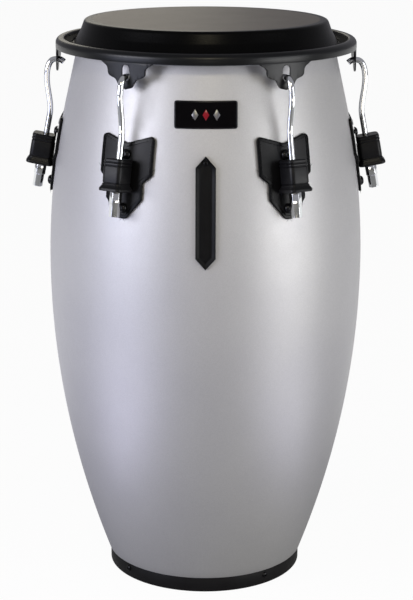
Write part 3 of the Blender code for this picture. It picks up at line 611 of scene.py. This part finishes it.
def screwMesh(name, size, material):
    # domed head with a hexagon socket, its seat at z = 0 and its shank below
    mouth = size["socket"] * 1.3                # the dome opens round the hexagon, a little wider
    start = math.degrees(math.asin(mouth / size["head"]))
    lift = size["rise"] / math.cos(math.radians(start))
    # the dome ends just above its seat
    profile = [
        (size["head"] * math.sin(math.radians(a)), lift * math.cos(math.radians(a)))
        for a in spread(start, 86, 8)
    ]
    profile += [(size["head"], 0), (size["shank"], 0), (size["shank"], -size["length"]), (0, -size["length"])]
    bm = turn(profile, steps=24)
    cleanUp(bm)
    opening = [edge for edge in bm.edges if edge.is_boundary]
    bed = Matrix.Translation((0, 0, size["rise"] - size["depth"]))
    bmesh.ops.create_circle(bm, cap_ends=True, segments=6, radius=size["socket"], matrix=bed)
    sides = [edge for edge in bm.edges if edge.is_boundary and edge not in opening]
    walls = bmesh.ops.extrude_edge_only(bm, edges=sides)
    bmesh.ops.translate(bm, vec=(0, 0, size["depth"]), verts=vertsOf(walls))
    lip = [item for item in walls["geom"] if isinstance(item, bmesh.types.BMEdge) and item.is_boundary]
    bmesh.ops.bridge_loops(bm, edges=opening + lip)
    return toMesh(name, bm, [material])


def makeBand():
    inner = band["radius"] - band["wall"]
    lip = shell["spigotInner"]
    profile = [
        (lip, 0), (band["radius"], 0), (band["radius"], band["height"]), (inner, band["height"]),
        (inner, band["floor"]), (lip, band["floor"]),
    ]
    bm = turn(profile, closed=True)
    roundEdges(bm, band["edge"], 3)
    addPiece("enamelled_foot_band", toMesh("band", bm, [bandEnamel]), "drum", "band_enamel", "base_band")
    mesh = screwMesh("band_screw", bandScrew, blackOxide)
    level = Matrix.Translation((0, 0, band["screwHeight"])) @ Matrix.Rotation(math.radians(90), 4, "X")
    seat = level @ Matrix.Translation((0, 0, band["radius"] + seatGap))
    for number, angle in enumerate(screwAngles, 1):
        addPiece(
            f"band_screw_{number}", mesh, "drum", "black_fastener", f"base_screw_{number}",
            place=around(angle) @ seat)


makeBand()
print("foot band is on")


# Head, flesh hoop and rim; the radii come from the frame
head = {
    "thickness": 0.0012, "lipWidth": 0.0105, "lipHeight": 0.7319, "bend": 0.7465, "hoopHeight": 0.0080,
    "coated": 0.1505,                                       # radius of the coating on the playing surface
    # shares of the thickness by which the upper side stands out and up at the collar's two bends
    "bendShift": (0.9, 0.3), "footShift": (0.75, 1.0),
    "foldTurn": (8, 70), "foldReach": 0.002, "foldRound": 0.0010, "hoopRound": 0.0012,
    "followsShell": 0.7495, "followsRim": 0.7325,           # the collar stretches between these heights
}
lipRadius = -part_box("drum_skin")[0].y
collarFoot = lipRadius - head["lipWidth"] - head["thickness"]
rimRadius = -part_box("rim")[0].y
rim = {
    "sheet": 0.0025, "roll": 0.0072, "rollTurn": 125, "rollHeight": 0.7316, "skirtBottom": 0.7250,
    "flangeGap": 0.0022, "bend": 0.0015, "edge": 0.0006,
}
ear = {
    "root": 0.0380, "side": (0.0278, 0.0060), "shoulder": (0.0268, 0.0165), "waist": (0.0150, 0.0205),
    "tip": (0.0095, 0.0305), "depth": 0.0331, "corner": 0.0060, "overlap": 0.0020, "inset": 0.00015,
    "slotWidth": 0.0110, "slotTop": 0.0024, "slotBottom": 0.0218, "edge": 0.0004,
}


def makeHead():
    # under side of the film first, then the upper side at one thickness above
    crest = shell["crestRadius"]
    coneTop = shell["crestHeight"] - shell["crestRound"]
    slope = (wall["topRadius"] - crest - shell["crestSpread"]) / (coneTop - wall["topHeight"])
    bendRadius = crest + shell["crestSpread"] + (coneTop - head["bend"]) * slope + seatGap
    lipBottom = head["lipHeight"] - head["thickness"]
    bendOut, bendUp = head["bendShift"]
    footOut, footUp = head["footShift"]

    def side(lift):
        reach = shell["crestSpread"] + seatGap + lift
        flat = (shell["crestRound"] + seatGap + lift) / reach
        top = shell["crestHeight"] + seatGap + lift
        points = [(0, top), (crest * 0.5, top), (head["coated"], top)]
        points += reversed(arc(crest, coneTop, reach, 12, 90, 8, flat))
        points += [(bendRadius + lift * bendOut, head["bend"] + lift * bendUp)]
        points += [(collarFoot + lift * footOut, lipBottom + lift * footUp)]
        return points + [(lipRadius, lipBottom + lift)]

    bm = turn(side(0.0) + side(head["thickness"])[::-1])
    cleanUp(bm)
    least, most = [math.radians(angle) for angle in head["foldTurn"]]
    fold = [e for e in bm.edges if e.is_manifold and least < e.calc_face_angle() < most
            and e.verts[0].co.z < head["bend"] + head["foldReach"]]
    bmesh.ops.bevel(
        bm, geom=fold, offset=head["foldRound"], segments=3, profile=0.5, affect="EDGES", material=-1,
        clamp_overlap=True)
    mesh = toMesh("head", bm, [headFilmAndSheen, collarFilm])
    # the playing surface takes the lighter tones with painted sheen; the collar and the underside keep the
    # black film
    for face in mesh.polygons:
        if face.center.xy.length > head["coated"] or face.normal.z < 0:
            face.material_index = 1
    skin = addPiece("synthetic_head", mesh, None, "head_film", "drum_skin")
    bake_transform(skin)

    inner = collarFoot + head["thickness"] + seatGap
    top = lipBottom - seatGap
    low = top - head["hoopHeight"]
    bm = turn([(inner, low), (lipRadius, low), (lipRadius, top), (inner, top)], closed=True)
    roundEdges(bm, head["hoopRound"], 3)
    addPiece("hoop_in_the_head", toMesh("hoop", bm, [hoopAlloy]), "rim_ring", "hoop_alloy", "flesh_hoop")


def earMesh():
    # scalloped shield with an upright slot, bent to the rim
    skirt = rim["skirtBottom"]
    bm = bmesh.new()
    top = skirt + ear["overlap"]
    corners = [(0.0, top, 0), (ear["root"], top, 0), (ear["root"], skirt, 0)]
    for part in ("side", "shoulder", "waist", "tip"):
        half, drop = ear[part]
        corners.append((half, skirt - drop, ear["corner"]))
    corners.append((0.0, skirt - ear["depth"], 0))
    face = outlineFace(bm, corners)
    bmesh.ops.delete(bm, geom=[face], context="FACES_ONLY")
    half = ear["slotWidth"] / 2
    slot = arc(0, skirt - ear["slotTop"] - half, half, 0, 180, 12)
    slot += arc(0, skirt - ear["slotBottom"] + half, half, 180, 360, 12)
    verts = [bm.verts.new((x, 0, z)) for x, z in slot]
    for pair in zip(verts, verts[1:] + verts[:1]):
        bm.edges.new(pair)
    bmesh.ops.triangle_fill(bm, use_beauty=True, edges=bm.edges[:])
    grown = bmesh.ops.extrude_face_region(bm, geom=bm.faces[:])
    bmesh.ops.translate(bm, vec=(0, 2 * ear["inset"] - rim["sheet"], 0), verts=vertsOf(grown))
    roundEdges(bm, ear["edge"], 2, 60)
    cutLoops(bm, xs=spread(-ear["root"], ear["root"], 24)[1:-1])
    inner = rimRadius - rim["sheet"] + ear["inset"]
    bend(bm, lambda z: inner)
    return toMesh("ear", bm, [rimPowder])


def makeRim():
    centre = rimRadius - rim["roll"]
    innerWall = centre + rim["roll"] * math.cos(math.radians(rim["rollTurn"]))
    flangeBottom = head["lipHeight"] + seatGap
    flangeTop = flangeBottom + rim["sheet"]
    flangeInner = collarFoot + head["thickness"] + rim["flangeGap"]
    profile = [(rimRadius, rim["skirtBottom"])]
    profile += arc(centre, rim["rollHeight"], rim["roll"], 0, rim["rollTurn"], 16)
    profile += [(innerWall, flangeTop), (flangeInner, flangeTop), (flangeInner, flangeBottom)]
    profile += [(innerWall + rim["bend"], flangeBottom)]
    profile += arc(centre, rim["rollHeight"], rim["roll"] - rim["sheet"], rim["rollTurn"], 0, 12)
    profile += [(rimRadius - rim["sheet"], rim["skirtBottom"])]
    bm = turn(profile, closed=True)
    roundEdges(bm, rim["edge"], 2, 40)
    shape = earMesh()
    for angle in lugAngles:
        copy = shape.copy()
        copy.transform(around(angle))
        bm.from_mesh(copy)
    mesh = toMesh("rim", bm, [rimPowder, flangePaintedShade])
    # the inner flange faces up, and takes only the darker copy, as painted shade
    for face in mesh.polygons:
        if face.normal.z > 0.9 and face.center.xy.length < innerWall:
            face.material_index = 1
    addPiece("rolled_rim", mesh, "rim_ring", "rim_powder_coat", "rim")


makeHead()
makeRim()
print("head and rim are on")


# Tuning hooks, with the same path as the frame's
lug = {
    "height": 0.585, "standOff": 0.0187, "lean": 2.3,      # rod axis from the wall, and degrees from it
    "width": 0.0240, "inner": 0.0118, "outer": 0.0160, "corner": 0.0050, "edge": 0.00035, "bore": 0.0045,
    "web": (0.0140, 0.0130, 0.0090),                       # width, top and bottom
    "webCorner": 0.0015, "drill": 0.1,                     # the drill is longer than the body
    # (height, how far the side stands in) from the top down: ribs, plain waist, groove and flared foot
    "sides": [
        (0.0225, 0.0016), (0.0212, 0.0002), (0.0188, 0.0), (0.0183, 0.0009), (0.0175, 0.0009),
        (0.0170, 0.0), (0.0146, 0.0), (0.0141, 0.0009), (0.0133, 0.0009), (0.0128, 0.0002),
        (-0.0070, 0.0002), (-0.0074, 0.0009), (-0.0082, 0.0009), (-0.0086, 0.0001),
        (-0.0104, 0.0), (-0.0140, -0.0022), (-0.0148, -0.0026), (-0.0172, -0.0026), (-0.0180, -0.0018),
    ],
}
hook = {
    "radius": 0.0040, "thread": 0.0400, "rise": 0.0490, "tip": (0.0090, 0.0037), "tipSlope": 0.8,
    "flat": 0.0040, "arch": (0.0118, 0.0175), "archLean": 0.15, "archFullness": 1.15, "sides": 8,
    "endRound": 0.0008,
}
lugRadius = wallRadius(lug["height"]) + lug["standOff"]
shankTilt = wallLean(lug["height"]) + math.radians(lug["lean"])
shankPlace = Matrix.Translation((0, -lugRadius, lug["height"])) @ Matrix.Rotation(-shankTilt, 4, "X")


def curveBetween(start, leaving, end, arriving, steps, fullness=1.0):
    pull = (end - start).length * fullness
    points = []
    for t in spread(0, 1, steps)[1:]:
        points.append(
            start * (2 * t ** 3 - 3 * t ** 2 + 1) + leaving * pull * (t ** 3 - 2 * t ** 2 + t)
            + end * (3 * t ** 2 - 2 * t ** 3) + arriving * pull * (t ** 3 - t ** 2))
    return points


def hookPath():
    # (radius, height) points from the threaded end, over the ear, to the tip
    upShank = Vector((-math.sin(shankTilt), math.cos(shankTilt)))
    upArch = Vector((-hook["archLean"], 1.0)).normalized()
    inward = Vector((-1.0, 0.0))
    downIn = Vector((-1.0, -hook["tipSlope"])).normalized()
    middle = Vector((lugRadius, lug["height"]))
    seatZ = rim["skirtBottom"] - ear["slotBottom"] + seatGap + hook["radius"]
    seatR = rimRadius - rim["sheet"] / 2
    straightEnd = middle + upShank * hook["rise"]
    seatOut = Vector((seatR + hook["flat"] / 2, seatZ))
    seatIn = Vector((seatR - hook["flat"] / 2, seatZ))
    archFoot = seatOut + Vector((hook["arch"][0], -hook["arch"][1]))
    tip = Vector((seatR - hook["tip"][0], seatZ - hook["tip"][1]))
    points = [middle - upShank * hook["thread"], middle, straightEnd]
    points += curveBetween(straightEnd, upShank, archFoot, upArch, 22)
    points += curveBetween(archFoot, upArch, seatOut, inward, 20, hook["archFullness"])
    points.append(seatIn)
    return points + curveBetween(seatIn, inward, tip, downIn, 8)


def makeHooks():
    line = bpy.data.curves.new("hook", "CURVE")
    line.dimensions = "3D"
    line.bevel_depth = hook["radius"]
    line.bevel_resolution = hook["sides"]
    line.use_fill_caps = True
    path = hookPath()
    spline = line.splines.new("POLY")
    spline.points.add(len(path) - 1)
    for point, (radius, z) in zip(spline.points, path):
        point.co = (0, -radius, z, 1)
    bent = bpy.data.objects.new("bent", line)
    bpy.context.scene.collection.objects.link(bent)
    tube = bpy.data.meshes.new_from_object(bent.evaluated_get(bpy.context.evaluated_depsgraph_get()))
    bpy.data.objects.remove(bent)
    bm = bmesh.new()
    bm.from_mesh(tube)
    roundEdges(bm, hook["endRound"], 3, 60)
    mesh = toMesh("hook", bm, [chrome])
    for number, angle in enumerate(lugAngles, 1):
        addPiece(
            f"chromed_hook_{number}", mesh, f"hook_{number}", "hook_chrome", f"tuning_hook_{number}",
            place=around(angle))


makeHooks()
print("hooks are bent")


# Tuning nuts: a collar hexagon above a longer, slimmer one
nut = {"collar": 0.0078, "collarLength": 0.0145, "radius": 0.0068, "length": 0.0315, "chamfer": 0.0006}


def makeNuts():
    top = lug["sides"][-1][0] - seatGap
    bottom = top - nut["length"]
    bm = bmesh.new()
    bmesh.ops.create_circle(
        bm, cap_ends=True, segments=6, radius=nut["collar"], matrix=Matrix.Translation((0, 0, top)))
    face = raiseFace(bm, bm.faces[:][0], (0, 0, -nut["collarLength"]))
    step = (nut["collar"] - nut["radius"]) * math.cos(math.pi / 6)
    bmesh.ops.inset_region(bm, faces=[face], thickness=step, use_even_offset=True)
    face = raiseFace(bm, face, (0, 0, nut["collarLength"] - nut["length"]))
    bmesh.ops.delete(bm, geom=[face], context="FACES_ONLY")
    hexagons = [edge for edge in bm.edges if edge.is_boundary]
    bmesh.ops.create_circle(bm, segments=24, radius=lug["bore"], matrix=Matrix.Translation((0, 0, top)))
    mouth = [edge for edge in bm.edges if edge.is_wire]
    walls = bmesh.ops.extrude_edge_only(bm, edges=mouth)
    bmesh.ops.translate(bm, vec=(0, 0, bottom - top), verts=vertsOf(walls))
    circles = [edge for edge in bm.edges if edge.is_boundary and edge not in hexagons]
    for z in (top, bottom):
        ring = [edge for edge in hexagons + circles if abs(edge.verts[0].co.z - z) < samePoint]
        bmesh.ops.bridge_loops(bm, edges=ring)
    roundEdges(bm, nut["chamfer"], 3, 40)
    mesh = toMesh("nut", bm, [chrome], 30)
    for number, angle in enumerate(lugAngles, 1):
        addPiece(
            f"chromed_nut_{number}", mesh, f"nut_{number}", "nut_chrome", f"tuning_nut_{number}",
            place=around(angle) @ shankPlace)


makeNuts()
print("nuts are on")


# Lug bodies
def makeLugs():
    half = lug["width"] / 2
    first, standIn = lug["sides"][0]
    bm = bmesh.new()
    spots = [(-1, -lug["outer"]), (1, -lug["outer"]), (1, lug["inner"]), (-1, lug["inner"])]
    verts = [bm.verts.new((sign * half, y, first)) for sign, y in spots]
    bm.faces.new(verts)
    bmesh.ops.bevel(
        bm, geom=verts, offset=lug["corner"], segments=7, profile=0.5, affect="VERTICES", material=-1)
    face = bm.faces[:][0]
    bmesh.ops.inset_region(bm, faces=[face], thickness=standIn, use_even_offset=True)
    ring = [item for item in bm.faces if item is not face]
    bmesh.ops.delete(bm, geom=ring, context="FACES")
    for (z, inset), (nextZ, nextInset) in zip(lug["sides"], lug["sides"][1:]):
        face = raiseFace(bm, face, (0, 0, nextZ - z), inset - nextInset, keep=z == first)
    roundEdges(bm, lug["edge"], 2, 50)
    block = toMesh("block", bm, [lugPowder])

    width, top, bottom = lug["web"]
    bm = bmesh.new()
    size = Matrix.Diagonal((width, lug["standOff"], top + bottom, 1))
    bmesh.ops.create_cube(
        bm, size=1.0, matrix=Matrix.Translation((0, lug["inner"], (top - bottom) / 2)) @ size)
    back = shankPlace.inverted()
    for vert in bm.verts:
        if vert.co.y > lug["inner"]:
            spot = shankPlace @ vert.co
            spot.y = -(wallRadius(spot.z) + plate["gap"] + plate["thickness"] + seatGap)
            vert.co = back @ spot
    # the web's long edges run out from the wall
    long = [edge for edge in bm.edges if abs(edge.verts[0].co.y - edge.verts[1].co.y) > 0.005]
    bmesh.ops.bevel(
        bm, geom=long, offset=lug["webCorner"], segments=4, profile=0.5, affect="EDGES", material=-1)
    block = combine(block, toMesh("web", bm, [lugPowder]), "UNION")

    bm = bmesh.new()
    bmesh.ops.create_cone(
        bm, cap_ends=True, segments=32, radius1=lug["bore"], radius2=lug["bore"], depth=lug["drill"])
    block = combine(block, toMesh("bore", bm, [lugPowder]), "DIFFERENCE")
    block.set_sharp_from_angle(angle=math.radians(sharpAngle))
    for number, angle in enumerate(lugAngles, 1):
        addPiece(
            f"cast_lug_{number}", block, "drum", "lug_powder_coat", f"lug_body_{number}",
            place=around(angle) @ shankPlace)


# Side plates and their bolts
plate = {
    "gap": 0.0004, "thickness": 0.0036, "edge": 0.0008, "border": 0.0035, "slope": 0.0006, "sunk": 0.0010,
    # (half width, height over the lug's middle, corner radius) from the top middle round to the foot
    "outline": [
        (0.0, 0.0400, 0), (0.0378, 0.0515, 0.0065), (0.0378, 0.0015, 0.0012), (0.0260, -0.0084, 0.0012),
        (0.0260, -0.0295, 0.0012), (0.0050, -0.0543, 0.0020),
    ],
    "bolts": {"upper": 0.0255, "lower": -0.0410},
}
plateBolt = {
    "head": 0.0065, "rise": 0.0040, "shank": 0.0030, "length": 0.0163, "socket": 0.0023, "depth": 0.0022,
}


def makePlates():
    bm = bmesh.new()
    face = outlineFace(bm, [(x, lug["height"] + rise, radius) for x, rise, radius in plate["outline"]])
    face = raiseFace(bm, face, (0, -plate["thickness"], 0), keep=True)
    roundEdges(bm, plate["edge"], 3, 60)
    face = max(bm.faces, key=lambda item: -item.calc_center_median().y * item.calc_area())
    bmesh.ops.inset_region(bm, faces=[face], thickness=plate["border"], use_even_offset=True)
    bmesh.ops.inset_region(
        bm, faces=[face], thickness=plate["slope"], depth=-plate["sunk"], use_even_offset=True)
    for item in bm.faces:
        item.material_index = 0 if item is face else 1
    reach = plate["outline"][1][0]
    low = lug["height"] + plate["outline"][-1][1]
    high = lug["height"] + plate["outline"][1][1]
    cutLoops(bm, spread(-reach, reach, 18)[1:-1], spread(low, high, 8)[1:-1])
    bend(bm, lambda z: wallRadius(z) + plate["gap"])
    mesh = toMesh("plate", bm, [platePowder, borderGloss])
    bolt = screwMesh("bolt", plateBolt, blackOxide)
    front = plate["gap"] + plate["thickness"] + seatGap
    for number, angle in enumerate(lugAngles, 1):
        addPiece(
            f"pressed_plate_{number}", mesh, "drum", "plate_powder_coat", f"side_plate_{number}",
            place=around(angle))
        for name, rise in plate["bolts"].items():
            addPiece(
                f"{name}_plate_bolt_{number}", bolt, "drum", "black_fastener", f"{name}_bolt_{number}",
                place=around(angle) @ onWall(lug["height"] + rise, front))
        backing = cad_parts[f"backing_plate_{number}"]
        backing.data.materials.clear()
        backing.data.materials.append(zincPlate)


makeLugs()
makePlates()
print("lugs and plates are on")


# Badge: enamel field in a metal frame, with three plain lozenges
badge = {
    "width": 0.0790, "height": 0.0339, "middle": 0.6628, "corner": 0.0030, "thickness": 0.0012,
    "gap": 0.0004, "edge": 0.0004, "frame": 0.0013, "slope": 0.0002, "sunk": 0.00025,
    "lozenge": (0.0042, 0.0068), "apart": 0.0135, "inlay": 0.0004, "inlayEdge": 0.0001, "inlaySunk": 0.0001,
}


def makeBadge():
    bm = bmesh.new()
    half, tall = badge["width"] / 2, badge["height"] / 2
    face = outlineFace(bm, [(half, badge["middle"] + side * tall, badge["corner"]) for side in (1, -1)])
    face = raiseFace(bm, face, (0, -badge["thickness"], 0), keep=True)
    roundEdges(bm, badge["edge"], 2, 60)
    face = max(bm.faces, key=lambda item: -item.calc_center_median().y * item.calc_area())
    bmesh.ops.inset_region(bm, faces=[face], thickness=badge["frame"], use_even_offset=True)
    bmesh.ops.inset_region(
        bm, faces=[face], thickness=badge["slope"], depth=-badge["sunk"], use_even_offset=True)
    face.material_index = 1
    cutLoops(bm, spread(-half, half, 20)[1:-1])
    bend(bm, lambda z: wallRadius(z) + badge["gap"])
    mesh = toMesh("badge", bm, [blackNickel, badgeEnamel])
    addPiece("blank_badge", mesh, "drum", "badge_enamel", "badge")

    wide, high = badge["lozenge"]
    standOff = badge["gap"] + badge["thickness"] - badge["sunk"] - badge["inlaySunk"]
    lozenges = (
        ("left", -badge["apart"], nickelSilver), ("middle", 0.0, redEnamel),
        ("right", badge["apart"], nickelSilver))
    for name, across, material in lozenges:
        bm = bmesh.new()
        spots = [(across + wide, 0), (across, high), (across - wide, 0), (across, -high)]
        face = bm.faces.new([bm.verts.new((x, 0, badge["middle"] + z)) for x, z in spots])
        raiseFace(bm, face, (0, -badge["inlay"], 0), keep=True)
        roundEdges(bm, badge["inlayEdge"], 2, 60)
        cutLoops(bm, [across - wide / 2, across, across + wide / 2])
        bend(bm, lambda z: wallRadius(z) + standOff)
        addPiece(f"badge_lozenge_{name}", toMesh("lozenge", bm, [material]), "drum", "badge_enamel")


makeBadge()
print("badge is on")


# Shell protector: a pointed rubber strip with broad chamfers, held by one screw
protector = {
    "width": 0.0250, "top": 0.6130, "bottom": 0.4720, "point": 0.0140, "side": 0.0035, "depth": 0.0062,
    "chamfer": 0.0050, "gap": 0.0004, "panel": 0.0010, "panelSunk": 0.0003, "edge": 0.0004,
    "screw": 0.6045, "sinkTaper": 0.0004,
    "sink": (0.0036, 0.0012),                              # radius and depth of the screw's recess
}
protectorScrew = {
    "head": 0.0030, "rise": 0.0014, "shank": 0.0015, "length": 0.0118, "socket": 0.0010, "depth": 0.0008,
}


def makeProtector():
    half = protector["width"] / 2
    low, high = protector["bottom"] + protector["point"], protector["top"] - protector["point"]
    bm = bmesh.new()
    face = outlineFace(bm, [
        (0.0, protector["top"], 0), (half, high, 0), (half, low, 0), (0.0, protector["bottom"], 0)])
    face = raiseFace(bm, face, (0, -protector["side"], 0), keep=True)
    bmesh.ops.inset_region(
        bm, faces=[face], thickness=protector["chamfer"], depth=protector["depth"] - protector["side"],
        use_even_offset=True)
    bmesh.ops.inset_region(
        bm, faces=[face], thickness=protector["panel"], depth=-protector["panelSunk"], use_even_offset=True)
    roundEdges(bm, protector["edge"], 3, 25)
    cutLoops(bm, spread(-half, half, 10)[1:-1], spread(low, high, 10))
    bend(bm, lambda z: wallRadius(z) + protector["gap"])
    strip = toMesh("protector", bm, [rubber])
    radius, depth = protector["sink"]
    bm = bmesh.new()
    front = protector["gap"] + protector["depth"]
    taper = protector["sinkTaper"]
    bmesh.ops.create_cone(
        bm, cap_ends=True, segments=32, radius1=radius - taper, radius2=radius + taper, depth=2 * depth,
        matrix=onWall(protector["screw"], front))
    strip = combine(strip, toMesh("sink", bm, [rubber]), "DIFFERENCE")
    strip.set_sharp_from_angle(angle=math.radians(sharpAngle))
    addPiece("rubber_protector", strip, "drum", "protector_rubber", "shell_protector")
    seat = onWall(protector["screw"], front - depth + seatGap)
    addPiece(
        "protector_fixing", screwMesh("fixing", protectorScrew, borderGloss), "drum", "black_fastener",
        "protector_screw", place=seat)


makeProtector()
print("protector is on")

bpy.context.view_layer.update()
